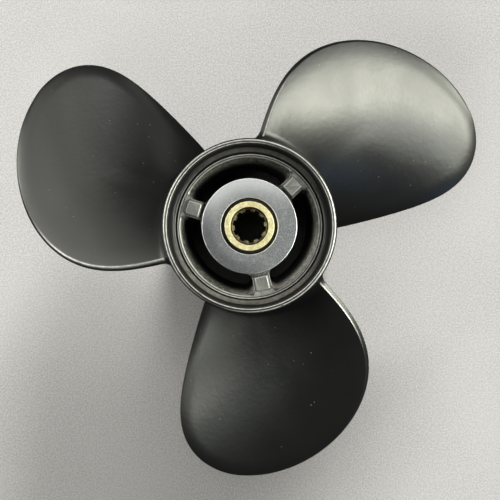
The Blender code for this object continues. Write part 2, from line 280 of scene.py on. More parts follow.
def passage_outline(low, inner, outer, rib, corner, arc_steps=5, side=26):
    """Plan of one kidney-shaped passage between the rib at angle low and the next: offset-able by its four sizes."""
    points = []
    a_low, a_high = math.radians(low), math.radians(low + 360.0 / BLADES)
    for r_c, from_low, far in (
        (inner + corner, True, False),
        (outer - corner, True, True),
        (outer - corner, False, True),
        (inner + corner, False, False),
    ):
        shift = math.asin((rib + corner) / r_c)
        mid = a_low + shift if from_low else a_high - shift
        cx, cy = r_c * math.cos(mid), r_c * math.sin(mid)
        to_rib = a_low - 0.5 * math.pi if from_low else a_high + 0.5 * math.pi
        radial = mid if far else mid + math.pi
        a0, a1 = (radial, to_rib) if far != from_low else (to_rib, radial)
        turn = (a1 - a0 + math.pi) % (2 * math.pi) - math.pi
        for i in range(arc_steps + 1):
            a = a0 + turn * i / arc_steps
            points.append((cx + corner * math.cos(a), cy + corner * math.sin(a)))
        if far and from_low:
            end = a_high - shift
            for i in range(1, side):
                a = mid + (end - mid) * i / side
                points.append((outer * math.cos(a), outer * math.sin(a)))
    shift = math.asin((rib + corner) / (inner + corner))
    for i in range(1, side):
        a = (a_high - shift) + (a_low + shift - a_high + shift) * i / side
        points.append((inner * math.cos(a), inner * math.sin(a)))
    return np.array(points)


# height, and how far the barrel's inner wall has closed in there
PASS_WALL = (
    (84.9, 0.35),
    (83.5, 0.75),
    (81.8, 1.15),
    (79.8, 1.5),
    (77.4, 1.8),
    (74.4, 2.05),
    (70.5, 2.2),
    (65.0, 2.3),
    (56.0, 2.3),
    (42.0, 2.2),
    (WEB_AFT_Z - 1.0, 1.8),
)


def passage_cutter(name, low):
    """Rounded mouth at the land, then a cast wall that closes in as it goes down."""
    rings = []
    edge_out, edge_rib = 0.35, 0.7

    def ring(z, grow_out, grow_rib, deep, follow):
        plan = passage_outline(
            low,
            PASS_IN_R - 0.15 + 0.2 * deep,
            PASS_OUT_R + grow_out + PASS_DRAFT * deep,
            RIB_HALF - grow_rib + RIB_DRAFT * deep,
            PASS_CORNER + 0.5 * deep,
        )
        r = np.hypot(plan[:, 0], plan[:, 1])
        zs = (land_z(r) + z) if follow else np.full(len(plan), z)
        return np.column_stack([plan, zs])

    rings.append(ring(2.5, edge_out * 0.85, edge_rib * 0.85, 0.0, True))
    for a in (72.0, 54.0, 36.0, 18.0, 0.0):
        a = math.radians(a)
        rings.append(
            ring(
                -edge_out * (1 - math.sin(a)),
                edge_out * (1 - math.cos(a)),
                edge_rib * (1 - math.cos(a)),
                0.0,
                True,
            )
        )
    for z, inward in PASS_WALL:
        deep = (86.0 - z) / (86.0 - WEB_AFT_Z)
        rings.append(ring(z, -inward - PASS_DRAFT * deep, 0.0, deep, False))
    return mesh_object(name, *skin(rings), hidden=True)


def pad_mesh(name, angle):
    """The raised pad on a rib: drafted sides, rounded top edges and corners."""
    rings = []
    a = math.radians(angle)
    radial = np.array([math.cos(a), math.sin(a)])
    across = np.array([-math.sin(a), math.cos(a)])
    lo, hi, half = 23.3, 29.0, 2.66

    def ring(z, grow):
        w, r0, r1 = half + grow, lo - 0.7 * grow, hi + 0.55 * grow
        corner = 0.45 + 0.2 * max(grow, 0.0)
        out = []
        for cx, cy, start in (
            (r1 - corner, w - corner, 0.0),
            (r0 + corner, w - corner, 90.0),
            (r0 + corner, -w + corner, 180.0),
            (r1 - corner, -w + corner, 270.0),
        ):
            for k in range(5):
                t = math.radians(start + 22.5 * k)
                x, y = cx + corner * math.cos(t), cy + corner * math.sin(t)
                p = radial * x + across * y
                out.append((p[0], p[1], z))
        return np.array(out)

    rings.append(ring(85.6, 1.05))
    rings.append(ring(86.8, 0.85))
    rings.append(ring(PAD_Z - 0.35, 0.08))
    for k in (1, 2, 3, 4, 5):
        t = math.radians(18.0 * k)
        rings.append(ring(PAD_Z - 0.35 * (1 - math.sin(t)), 0.08 - 0.35 * (1 - math.cos(t))))
    return mesh_object(name, *skin(rings), hidden=True)


# ---- blades ----
def series(terms, t):
    return sum(c * t**k for k, c in enumerate(terms))


def share(r):
    return np.clip((r - ROOT_R) / (TIP_R - ROOT_R), 0.0, 1.0)


def edge_angles(r):
    t = share(r)
    close = np.sqrt(np.maximum(1.0 - t, 0.0))
    return TIP_ANGLE + close * series(LEAD, t), TIP_ANGLE - close * series(TRAIL, t)


def mean_z(r, degrees, end=0.0):
    """Height of the section's straight line: pitch, a rake that grows towards the tip, and a little extra turn."""
    t = share(r)
    rake = (TIP_R - ROOT_R) * series((0.0, RAKE[0], RAKE[1] / 2, RAKE[2] / 3), t)
    turn = (PITCH + PITCH_CHANGE * t) * (degrees - ROOT_MID_ANGLE) / 360.0
    close = np.minimum(2.0 * np.sqrt(1.0 - t), 1.0)
    return ROOT_MID_Z + turn + rake + end * TILT * t * close * (2.0 - close)


def lean(r, which):
    """How far the outline leans away from the radial direction: 1 where it runs straight out."""
    step = 0.05
    a = math.radians(edge_angles(max(r - step, ROOT_R))[which]) * r
    b = math.radians(edge_angles(min(r + step, TIP_R - 1e-6))[which]) * r
    return math.sqrt(1.0 + ((b - a) / (2 * step)) ** 2)


def outline_points():
    """Plan of the blade's edge, with the side that each point is on and its share of the span."""
    t = 1.0 - np.linspace(1.0, 0.0, 900) ** 2
    r = ROOT_R + (TIP_R - ROOT_R) * t
    xy, kind, along = [], [], []
    for angles, side in zip(edge_angles(r), (1.0, 0.0)):
        a = np.radians(angles)
        xy.append(np.stack([r * np.cos(a), r * np.sin(a)], 1))
        kind.append(np.full(len(r), side))
        along.append(t)
    return np.concatenate(xy), np.concatenate(kind), np.concatenate(along)


EDGE_XY, EDGE_SIDE, EDGE_SHARE = outline_points()


def edge_distance(r, angle):
    """Plan distance from the blade's outline, and what edge is nearest."""
    p = np.stack([r * np.cos(angle), r * np.sin(angle)], -1)
    d = np.empty(len(p))
    near = np.empty(len(p), int)
    for s in range(0, len(p), 400):
        gap = ((p[s : s + 400, None] - EDGE_XY[None]) ** 2).sum(2)
        near[s : s + 400] = gap.argmin(1)
        d[s : s + 400] = np.sqrt(gap.min(1))
    return d, EDGE_SIDE[near], EDGE_SHARE[near]


NEAR_LEAD = (0.0, 0.08, 0.2, 0.36, 0.6, 0.85, 1.0, 1.12, 1.24, 1.36, 1.5, 1.7, 2.0, 2.5, 3.2, 4.2, 5.4, 6.8, 8.4, 10.2)
NEAR_TRAIL = (0.0, 0.05, 0.14, 0.28, 0.45, 0.65, 0.95, 1.4, 2.0, 2.8, 3.7, 4.7, 5.8, 7.0, 8.4, 10.0)


def stations(r, chord, inside=20):
    """Distances along the section from the leading edge, close together at both edges."""
    lead = np.array(NEAR_LEAD) * lean(r, 0)
    trail = np.array(NEAR_TRAIL) * lean(r, 1)
    lead *= min(1.0, 0.4 * chord / lead[-1])
    trail *= min(1.0, 0.3 * chord / trail[-1])
    middle = np.linspace(lead[-1], chord - trail[-1], inside + 2)[1:-1]
    return np.concatenate([lead, middle, (chord - trail)[::-1]])


def soft_min(a, b, width):
    h = np.clip(0.5 + 0.5 * (b - a) / width, 0.0, 1.0)
    return b * (1 - h) + a * h - width * h * (1 - h)


def fillet_at(r):
    out = r - ROOT_R
    if out >= FILLET:
        return 0.0
    up = FILLET - max(out, 0.0)
    return FILLET - math.sqrt(FILLET**2 - up**2)


def blade_radii():
    first = ROOT_R + FILLET
    radii = [ROOT_IN_R, ROOT_R - 0.3]
    radii += [ROOT_R + FILLET * f for f in (0.01, 0.05, 0.11, 0.19, 0.28, 0.39, 0.52, 0.67, 0.83, 1.0)]
    radii += list(first + np.linspace(0, 1, 34)[1:-1] * (TIP_R - 20.0 - first))
    near_tip = (20, 18.4, 16.9, 15.5, 14.1, 12.8, 11.5, 10.3, 9.2, 8.1, 7.1, 6.2, 5.4, 4.6, 3.9, 3.3, 2.7, 2.2, 1.75, 1.35, 1.0, 0.7, 0.45, 0.26, 0.12, 0.03)
    return radii + [TIP_R - d for d in near_tip]


def blade_mesh(name, base):
    """Sections on cylinders round the shaft, joined root to tip."""
    rows = []
    for r in blade_radii():
        t = float(share(r))
        lead, trail = (float(a) for a in edge_angles(r))
        start = np.array([math.radians(lead) * r, float(mean_z(r, lead, -0.5))])
        end = np.array([math.radians(trail) * r, float(mean_z(r, trail, 0.5))])
        chord = float(np.linalg.norm(end - start))
        along = (end - start) / chord
        up = np.array([-along[1], along[0]]) if along[0] > 0 else np.array([along[1], -along[0]])
        xs = stations(r, chord)
        rows.append((r, t, xs / chord, chord, along, up, start + along * xs[:, None]))
    all_r = np.concatenate([np.full(len(x[2]), max(x[0], ROOT_R)) for x in rows])
    all_a = np.concatenate([x[6][:, 0] / x[0] for x in rows])
    dist, side, where = edge_distance(all_r, all_a)
    rings, at = [], 0
    for r, t, s, chord, along, up, line in rows:
        n = len(s)
        d, lead_side, u = dist[at : at + n].copy(), side[at : at + n], where[at : at + n]
        at += n
        d[0] = d[-1] = 0.0
        flat = max(abs(along[0]), 0.5)
        ds = d * (1.0 + (1.0 / flat - 1.0) * (1.0 - u**2))
        hump = 4 * s * (1 - s)
        crown = flat * series(CROWN, t) * hump * (1 + CROWN_LEAN * (s - 0.5))
        under = series(UNDER, t) * hump * min(1.0, chord / 40.0)
        near = 1.0 - (1.0 - np.minimum(d / DROP_WIDE, 1.0)) ** 2
        # leading edge: a blunt bevelled face; trailing edge and tip: thin and round
        nose = lead_side * (1.0 - step01(u, 0.72, 0.97))
        face = (1.15 - 0.5 * step01(u, 0.45, 0.9)) * nose + 0.55 * (1.0 - nose)
        edge_top = 1.2 * nose + face * (1 - nose)
        top_body = edge_top + (DROP_LEAD * nose + DROP * (1 - nose)) * near + crown
        bevel = -face + 0.3 + math.tan(math.radians(68.0)) * ds
        turn = np.sqrt(np.maximum(face**2 - (face - np.minimum(ds, face)) ** 2, 0.0))
        top = soft_min(bevel, top_body, 0.45) * nose + (top_body + turn - face) * (1 - nose)
        low_r = 0.35 * nose + face * (1 - nose)
        turn = np.sqrt(np.maximum(low_r**2 - (low_r - np.minimum(ds, low_r)) ** 2, 0.0))
        low = -(face + under * near) + low_r - turn
        edge = ds <= 0
        low = np.where(edge, (-face + 0.3) * nose, low)
        top = np.where(edge, (-face + 0.3) * nose, top)
        top = np.maximum(top, low + 1e-3)
        flare = fillet_at(r)
        grow = flare * (0.45 + 0.55 * np.minimum(1.0, s / 0.2)) * np.minimum(1.0, ds / 1.0)
        spread = flare * 0.62 * (2 * s - 1) ** 5
        line = line + along * spread[:, None]
        upper = line + up * (top + grow)[:, None]
        lower = line + up * (low - grow)[:, None]
        ring = np.concatenate([upper, lower[-2:0:-1]])
        angle = ring[:, 0] / r + math.radians(base)
        rings.append(np.stack([r * np.cos(angle), r * np.sin(angle), ring[:, 1]], 1))
    return mesh_object(name, *skin(rings), hidden=True)


def make_casting():
    casting = mesh_object("casting_surface", *hub_mesh())
    helpers = []
    for k, rib in enumerate(rib_angles()):
        hole = passage_cutter(f"passage_{k + 1}", rib)
        boolean(casting, hole, "DIFFERENCE")
        helpers.append(hole)
    for k, rib in enumerate(rib_angles()):
        for piece in (
            pad_mesh(f"pad_{k + 1}", rib),
            blade_mesh(f"blade_{k + 1}", 360.0 * k / BLADES),
        ):
            boolean(casting, piece, "UNION")
            helpers.append(piece)
    keep_evaluated(casting)
    for h in helpers:
        bpy.data.objects.remove(h)
    smooth(casting)
    add_wear_and_glint(casting)
    return casting


def near(value, at, width):
    return np.exp(-(((value - at) / width) ** 2))


def add_wear_and_glint(obj):
    """A point attribute, 1 along lines on the casting's edges: rubbed paint, and painted highlights on the rounds of
    rim, land, passage mouths, pads and the blades' leading edges.
    """
    mesh = obj.data
    flat = np.empty(len(mesh.vertices) * 3)
    mesh.vertices.foreach_get("co", flat)
    p = flat.reshape(-1, 3) / MM
    z = p[:, 2] + CENTROID_Z
    mesh.vertex_normals.foreach_get("vector", flat)
    lift = flat.reshape(-1, 3)[:, 2]
    r = np.hypot(p[:, 0], p[:, 1])
    angle = np.arctan2(p[:, 1], p[:, 0])
    wear_and_glint = np.zeros(len(p))
    top = z > 93.9
    turn = np.degrees(angle)
    # painted highlights: each of the rim's two lines fades on the side where the light does not catch its round
    outer = near(r, 37.72, 0.2) * (1.0 - 0.9 * near((turn + 115.0 + 180.0) % 360.0 - 180.0, 0.0, 24.0))
    inner = near(r, 36.56, 0.14) * (1.0 - 0.85 * near((turn - 62.0 + 180.0) % 360.0 - 180.0, 0.0, 30.0))
    wear_and_glint = np.where(top, outer + inner, wear_and_glint)
    seat = (z > 85.8) & (z < 87.2)
    r_land = np.hypot(p[:, 0] - LAND_OFF[0], p[:, 1] - LAND_OFF[1])
    # painted highlight: the land's two lines are weaker on one side
    less = 1.0 - 0.45 * near((turn - 40.0 + 180.0) % 360.0 - 180.0, 0.0, 60.0)
    wear_and_glint = np.where(seat, less * np.maximum(near(r_land, 32.14, 0.24), near(r_land, 31.12, 0.24)), wear_and_glint)
    # rounded mouths of the passages, ribs' edges too
    mouth = (z > 85.2) & (z < 87.0) & (r > 23.2) & (r < 30.3)
    wear_and_glint = np.where(mouth, np.maximum(wear_and_glint, 0.55 * near(lift, 0.78, 0.11)), wear_and_glint)
    for rib in rib_angles():
        a = math.radians(rib)
        out = p[:, 0] * math.cos(a) + p[:, 1] * math.sin(a)
        across = np.abs(p[:, 1] * math.cos(a) - p[:, 0] * math.sin(a))
        on_pad = (z > PAD_Z - 0.5) & (out > 22.9) & (out < 29.5) & (across < 3.0)
        rim = np.maximum(near(across, 2.62, 0.18), np.maximum(near(out, 23.35, 0.18), near(out, 28.95, 0.2)))
        wear_and_glint = np.where(on_pad, rim, wear_and_glint)
    # painted highlight lines along the blades' leading-edge crest, wider and longer on one blade
    blade = (r > ROOT_R + 1.5) & (lift > 0.1) & (z > 14.0)
    which = np.nonzero(blade)[0]
    base = np.round((np.degrees(angle[which]) - 45.0) / 120.0) * 120.0
    a = angle[which] - np.radians(base)
    t = share(r[which])
    far = np.radians(edge_angles(r[which])[0]) - a
    close = far * r[which] < 9.0
    which, a, base = which[close], a[close], base[close]
    d, side, u = edge_distance(r[which], a)
    left = np.abs(base % 360.0 - 120.0) < 1.0
    crest = near(d, 1.36, np.where(left, 0.44, 0.22)) * side * np.where(left, 1.0, 0.75)
    reach = np.where(left, 0.78, 0.45)
    wear_and_glint[which] = crest * (1.0 - step01(u, reach - 0.2, reach))
    layer = mesh.attributes.new("wear_and_glint", "FLOAT", "POINT")
    layer.data.foreach_set("value", np.clip(wear_and_glint, 0.0, 1.0).astype(np.float32))


# ---- bush and sleeve ----
def turned(name, corners, steps):
    line = rounded(corners)
    rings = []
    for a in np.linspace(0, 2 * math.pi, steps, endpoint=False):
        rings.append(
            np.stack([line[:, 0] * math.cos(a), line[:, 0] * math.sin(a), line[:, 1]], 1)
        )
    return mesh_object(name, *skin(rings, closed=False))


def make_bush():
    """The rubber shows round the brass as a sunk lip with two fine moulded ridges."""
    inner, outer, z = SLEEVE_R + GAP, HOLE_R - GAP, DISC_Z - 0.55
    width = outer - inner
    corners = [(outer, BUSH_SEAT_Z - GAP, 0.1, 1), (BUSH_BORE_R - GAP, BUSH_SEAT_Z - GAP, 0.8, 3)]
    corners += [
        (BUSH_BORE_R - GAP, HUB_AFT_Z + 2.4, 0.8, 3),
        (inner + 0.1, HUB_AFT_Z + 2.4, 0.6, 3),
        (inner, z - 0.9, 0.05, 1),
        (inner, z - 0.15, 0.1, 2),
        (inner + 0.22 * width, z - 0.1, 0.1, 2),
        (inner + 0.3 * width, z - 0.45, 0.05, 1),
        (inner + 0.42 * width, z - 0.45, 0.05, 1),
        (inner + 0.5 * width, z + 0.05, 0.1, 2),
        (inner + 0.68 * width, z + 0.05, 0.1, 2),
        (inner + 0.76 * width, z - 0.4, 0.05, 1),
        (inner + 0.88 * width, z - 0.4, 0.05, 1),
        (outer, z - 0.1, 0.1, 2),
    ]
    bush = turned("rubber_ring", corners, 120)
    smooth(bush, 40.0)
    return bush


def make_sleeve():
    corners = [
        (SLEEVE_R, SLEEVE_FRONT_Z, 0.3, 4),
        (SLEEVE_R, SLEEVE_AFT_Z, 0.35, 3),
        (8.3, SLEEVE_AFT_Z, 0.2, 3),
        (7.75, SLEEVE_AFT_Z + 2.6, 0.1, 1),
        (SPLINE_MINOR_R - 0.5, SLEEVE_AFT_Z + 3.1, 0.05, 1),
        (SPLINE_MINOR_R - 0.5, SLEEVE_FRONT_Z - 3.3, 0.05, 1),
        (7.78, SLEEVE_FRONT_Z - 3.0, 0.15, 2),
        (8.5, SLEEVE_FRONT_Z, 0.18, 3),
    ]
    sleeve = turned("brass_sleeve", corners, 160)
    outline = []
    step = 360.0 / SPLINE_TEETH
    for k in range(SPLINE_TEETH):
        tooth = SPLINE_PHASE + k * step
        half_tip, half_root = 7.6, 9.4
        for r, a in (
            [(SPLINE_MINOR_R, x) for x in (-half_tip + 0.7, -3.5, 0.0, 3.5, half_tip - 0.7)]
            + [(SPLINE_MINOR_R + 0.12, half_tip), (SPLINE_MAJOR_R - 0.15, half_root - 0.3)]
            + [(SPLINE_MAJOR_R, x) for x in (half_root + 0.8, 14.0, 18.0, 22.0, step - half_root - 0.8)]
            + [(SPLINE_MAJOR_R - 0.15, step - half_root + 0.3), (SPLINE_MINOR_R + 0.12, step - half_tip)]
        ):
            b = math.radians(tooth + a)
            outline.append((r * math.cos(b), r * math.sin(b)))
    outline = np.array(outline)
    rings = [
        np.column_stack([outline, np.full(len(outline), z)])
        for z in (SLEEVE_AFT_Z - 1.0, SLEEVE_FRONT_Z + 1.0)
    ]
    cutter = mesh_object("spline_form", *skin(rings), hidden=True)
    boolean(sleeve, cutter, "DIFFERENCE")
    keep_evaluated(sleeve)
    bpy.data.objects.remove(cutter)
    smooth(sleeve, 30.0)
    return sleeve


# ---- materials ----
def node(tree, kind, inputs=None, **settings):
    """A node with its settings, its values and its incoming links."""
    made = tree.nodes.new("ShaderNode" + kind)
    for key, value in settings.items():
        setattr(made, key, value)
    for key, value in (inputs or {}).items():
        if isinstance(value, bpy.types.NodeSocket):
            tree.links.new(value, made.inputs[key])
        else:
            made.inputs[key].default_value = value
    return made


def material(name):
    mat = bpy.data.materials.new(name)
    mat.use_nodes = True
    tree = mat.node_tree
    return mat, tree, tree.nodes["Principled BSDF"]


def grade(tree, value, low, high, start=0.0, end=1.0):
    """Smooth step of a value from start at low to end at high."""
    inputs = {"Value": value, "From Min": low, "From Max": high, "To Min": start, "To Max": end}
    return node(tree, "MapRange", inputs, interpolation_type="SMOOTHSTEP").outputs["Result"]


def blend(tree, factor, one, two):
    kind = "RGBA" if isinstance(one, tuple) or getattr(one, "type", "") == "RGBA" else "FLOAT"
    at = (6, 7, 2) if kind == "RGBA" else (2, 3, 0)
    made = node(tree, "Mix", {0: factor, at[0]: one, at[1]: two}, data_type=kind)
    return made.outputs[at[2]]


def both(tree, one, two):
    return node(tree, "Math", {0: one, 1: two}, operation="MULTIPLY").outputs[0]


def noise(tree, where, scale, detail=2.0, rough=0.5):
    inputs = {"Vector": where, "Scale": scale, "Detail": detail, "Roughness": rough}
    return node(tree, "TexNoise", inputs).outputs["Fac"]


def shaft_coords(tree):
    """Object position, height, and distance from the shaft axis, all in metres in the row frame."""
    where = node(tree, "TexCoord").outputs["Object"]
    parts = node(tree, "SeparateXYZ", {"Vector": where})
    flat = node(tree, "CombineXYZ", {"X": parts.outputs["X"], "Y": parts.outputs["Y"]})
    away = node(tree, "VectorMath", {0: flat.outputs[0]}, operation="LENGTH").outputs["Value"]
    return where, parts.outputs["Z"], away


def up(z):
    return (z - CENTROID_Z) * MM


def black_paint():
    """Satin black paint with orange peel and dust; thin and rough on the cast walls of the passages, with painted light
    on one side of them and painted shade deeper down; a painted reflection in the cup's cove; rubbed edges with painted
    highlight lines; one chip on the rim.
    """
    mat, tree, shader = material("satin_black_paint")
    where, z, away = shaft_coords(tree)
    inside = both(
        tree,
        grade(tree, z, up(86.7), up(86.1)),
        grade(tree, away, 31.2 * MM, 30.6 * MM),
    )
    cast = noise(tree, where, 800.0, 4.0, 0.7)
    cast_tone = blend(tree, grade(tree, cast, 0.42, 0.66), (0.008, 0.008, 0.007, 1.0), (0.165, 0.162, 0.142, 1.0))
    # painted light: the passages' cast walls are painted paler on one side, as if lit from there
    pale = node(tree, "VectorMath", {0: where, 1: (0.64, -0.77, 0.0)}, operation="DOT_PRODUCT").outputs["Value"]
    pale = grade(tree, pale, 14.0 * MM, 29.0 * MM)
    cast_tone = blend(tree, both(tree, pale, grade(tree, cast, 0.3, 0.6, 0.15, 0.75)), cast_tone, (0.36, 0.353, 0.325, 1.0))
    # painted shade: the walls darken to near black deeper down the passages, a little less on the lit side
    deep = both(tree, grade(tree, z, up(82.0), up(70.0)), grade(tree, pale, 0.0, 1.0, 1.0, 0.75))
    cast_tone = blend(tree, deep, cast_tone, (0.004, 0.004, 0.004, 1.0))
    dust = node(tree, "TexVoronoi", {"Vector": where, "Scale": 170.0}).outputs["Distance"]
    dust = grade(tree, dust, 0.05, 0.033)
    tone = blend(tree, inside, (0.0075, 0.0075, 0.0078, 1.0), cast_tone)
    tone = blend(tree, dust, tone, (0.16, 0.16, 0.155, 1.0))
    # painted reflection: the cup's lower cove is painted lighter and browner towards -y, and half as much towards +y
    cup_light_side = node(tree, "VectorMath", {0: where, 1: (-0.12, -0.99, 0.0)}, operation="DOT_PRODUCT").outputs["Value"]
    cup_painted_light = both(tree, grade(tree, z, up(89.3), up(88.5)), grade(tree, z, up(85.4), up(86.0)))
    cup_painted_light = both(tree, cup_painted_light, grade(tree, away, 32.9 * MM, 33.4 * MM))
    cup_painted_light = both(tree, cup_painted_light, grade(tree, away, 37.3 * MM, 37.0 * MM))
    far_side = grade(tree, cup_light_side, -14.0 * MM, -32.0 * MM, 0.0, 0.5)
    around = node(tree, "Math", {0: grade(tree, cup_light_side, 6.0 * MM, 27.0 * MM), 1: far_side}, operation="MAXIMUM").outputs[0]
    cup_painted_light = both(tree, cup_painted_light, around)
    cup_painted_light = both(tree, cup_painted_light, grade(tree, noise(tree, where, 420.0, 4.0, 0.65), 0.3, 0.7, 0.5, 1.0))
    tone = blend(tree, cup_painted_light, tone, (0.125, 0.118, 0.108, 1.0))
    chip_at = (math.cos(math.radians(-67.8)) * 38.3 * MM, math.sin(math.radians(-67.8)) * 38.3 * MM, up(94.9))
    chip = node(tree, "VectorMath", {0: where, 1: chip_at}, operation="DISTANCE").outputs["Value"]
    ragged = both(tree, noise(tree, where, 1800.0, 3.0), 0.0012)
    chip = node(tree, "Math", {0: chip, 1: ragged}, operation="ADD").outputs[0]
    chip = grade(tree, chip, 1.55 * MM, 1.35 * MM)
    tone = blend(tree, chip, tone, (0.62, 0.62, 0.6, 1.0))
    # rubbed edges and painted highlight lines: pale and partly metallic
    rubbed_and_glint = node(tree, "Attribute", attribute_name="wear_and_glint").outputs["Fac"]
    rubbed_and_glint = both(tree, rubbed_and_glint, grade(tree, noise(tree, where, 500.0, 3.0), 0.3, 0.6, 0.65, 1.0))
    tone = blend(tree, rubbed_and_glint, tone, (0.58, 0.58, 0.565, 1.0))
    tree.links.new(tone, shader.inputs["Base Color"])
    bare = node(tree, "Math", {0: chip, 1: both(tree, rubbed_and_glint, 0.4)}, operation="MAXIMUM").outputs[0]
    tree.links.new(bare, shader.inputs["Metallic"])
    patchy = grade(tree, noise(tree, where, 45.0, 3.0), 0.3, 0.7, 0.29, 0.35)
    cup = both(
        tree,
        grade(tree, z, up(93.6), up(92.6)),
        grade(tree, away, 37.4 * MM, 37.2 * MM),
    )
    cup = both(tree, cup, grade(tree, away, 33.2 * MM, 33.5 * MM))
    # a dull film on the cup's walls and on the land, which leaves its two lines of rubbed paint and painted highlight
    band = both(tree, grade(tree, away, 29.4 * MM, 30.0 * MM), grade(tree, away, 32.3 * MM, 32.0 * MM))
    band = both(tree, band, grade(tree, z, up(85.0), up(85.6)))
    film = node(tree, "Math", {0: both(tree, cup, grade(tree, z, up(88.5), up(89.6), 0.62, 0.9)), 1: both(tree, band, 0.6)}, operation="MAXIMUM").outputs[0]
    tree.links.new(blend(tree, film, 0.5, 0.0), shader.inputs["Specular IOR Level"])
    rough = blend(tree, both(tree, cup, 0.5), patchy, 0.4)
    rough = blend(tree, inside, rough, 0.6)
    rough = blend(tree, dust, rough, 0.85)
    tree.links.new(rough, shader.inputs["Roughness"])
    peel = node(tree, "Bump", {"Height": noise(tree, where, 400.0, 2.0), "Distance": 0.00005, "Strength": 1.0})
    grain = both(tree, cast, inside)
    pitted = node(tree, "Bump", {"Height": grain, "Normal": peel.outputs[0], "Distance": 0.00022, "Strength": 1.0})
    tree.links.new(pitted.outputs[0], shader.inputs["Normal"])
    return mat


def polar(tree, where, away, round_scale, out_scale):
    """Coordinates that run round the shaft and outwards from it, for marks with a direction."""
    parts = node(tree, "SeparateXYZ", {"Vector": where})
    angle = node(tree, "Math", {0: parts.outputs["Y"], 1: parts.outputs["X"]}, operation="ARCTAN2").outputs[0]
    return node(tree, "CombineXYZ", {"X": both(tree, angle, round_scale), "Y": both(tree, away, out_scale)}).outputs[0]


def turned_metal():
    """Bare aluminium faced on a lathe: fine rings, short dull marks along them; a painted sheen brightens one side,
    painted shade darkens the opposite side, and painted highlights ring both edges.
    """
    mat, tree, shader = material("turned_aluminium")
    where, z, away = shaft_coords(tree)
    rings = noise(tree, node(tree, "CombineXYZ", {"X": away}).outputs[0], 4200.0, 3.0, 0.7)
    marks = noise(tree, polar(tree, where, away, 22.0, 2600.0), 1.0, 4.0, 0.7)
    spots = noise(tree, where, 620.0, 4.0, 0.7)
    tone = blend(tree, grade(tree, marks, 0.3, 0.7), (0.18, 0.187, 0.206, 1.0), (0.47, 0.482, 0.516, 1.0))
    tone = blend(tree, grade(tree, spots, 0.48, 0.68, 0.0, 0.32), tone, (0.64, 0.655, 0.70, 1.0))
    # painted sheen: the outer part of the face is lighter towards +y
    side = node(tree, "VectorMath", {0: where, 1: (-0.26, 0.966, 0.0)}, operation="DOT_PRODUCT").outputs["Value"]
    painted_bright_side = both(tree, grade(tree, side, 0.0, 20.0 * MM), grade(tree, away, 13.0 * MM, 20.0 * MM, 0.35, 1.0))
    tone = blend(tree, both(tree, painted_bright_side, 0.88), tone, (0.88, 0.9, 0.94, 1.0))
    # painted shade: the outer part of the face is darker towards the opposite side
    other = node(tree, "VectorMath", {0: where, 1: (-0.77, -0.64, 0.0)}, operation="DOT_PRODUCT").outputs["Value"]
    dull = both(tree, grade(tree, other, 2.0 * MM, 17.0 * MM), grade(tree, away, 14.0 * MM, 18.5 * MM))
    tone = blend(tree, both(tree, dull, 0.6), tone, (0.12, 0.126, 0.142, 1.0))
    # painted highlights: bright rings on the outer and inner chamfers
    edge = node(
        tree,
        "Math",
        {0: grade(tree, away, 20.96 * MM, 21.02 * MM), 1: grade(tree, away, 12.98 * MM, 12.9 * MM)},
        operation="MAXIMUM",
    ).outputs[0]
    tone = blend(tree, both(tree, edge, 0.6), tone, (0.88, 0.89, 0.92, 1.0))
    tree.links.new(tone, shader.inputs["Base Color"])
    shader.inputs["Metallic"].default_value = 1.0
    tree.links.new(grade(tree, marks, 0.3, 0.75, 0.40, 0.52), shader.inputs["Roughness"])
    bump = node(tree, "Bump", {"Height": rings, "Distance": 0.00002, "Strength": 1.0})
    tree.links.new(bump.outputs[0], shader.inputs["Normal"])
    return mat


def pad_metal():
    """The ribs' pads: machined, then painted thinly, with marks that run outwards."""
    mat, tree, shader = material("dull_machined_pad")
    where, z, away = shaft_coords(tree)
    streak = noise(tree, polar(tree, where, away, 75.0, 260.0), 1.0, 3.0, 0.7)
    tone = blend(tree, grade(tree, streak, 0.32, 0.68), (0.07, 0.07, 0.068, 1.0), (0.28, 0.28, 0.274, 1.0))
    # the pads' edges: rubbed paint and painted highlight lines
    rubbed_and_glint = node(tree, "Attribute", attribute_name="wear_and_glint").outputs["Fac"]
    tone = blend(tree, both(tree, rubbed_and_glint, 0.8), tone, (0.62, 0.62, 0.6, 1.0))
    tree.links.new(tone, shader.inputs["Base Color"])
    shader.inputs["Metallic"].default_value = 0.9
    shader.inputs["Roughness"].default_value = 0.46
    bump = node(tree, "Bump", {"Height": streak, "Distance": 0.00003, "Strength": 1.0})
    tree.links.new(bump.outputs[0], shader.inputs["Normal"])
    return mat


def rubber_surface():
    mat, tree, shader = material("black_rubber")
    where, z, away = shaft_coords(tree)
    fine = noise(tree, where, 1500.0, 3.0)
    tree.links.new(blend(tree, fine, (0.003, 0.003, 0.003, 1.0), (0.009, 0.009, 0.0085, 1.0)), shader.inputs["Base Color"])
    shader.inputs["Roughness"].default_value = 0.55
    bump = node(tree, "Bump", {"Height": fine, "Distance": 0.00003, "Strength": 1.0})
    tree.links.new(bump.outputs[0], shader.inputs["Normal"])
    return mat


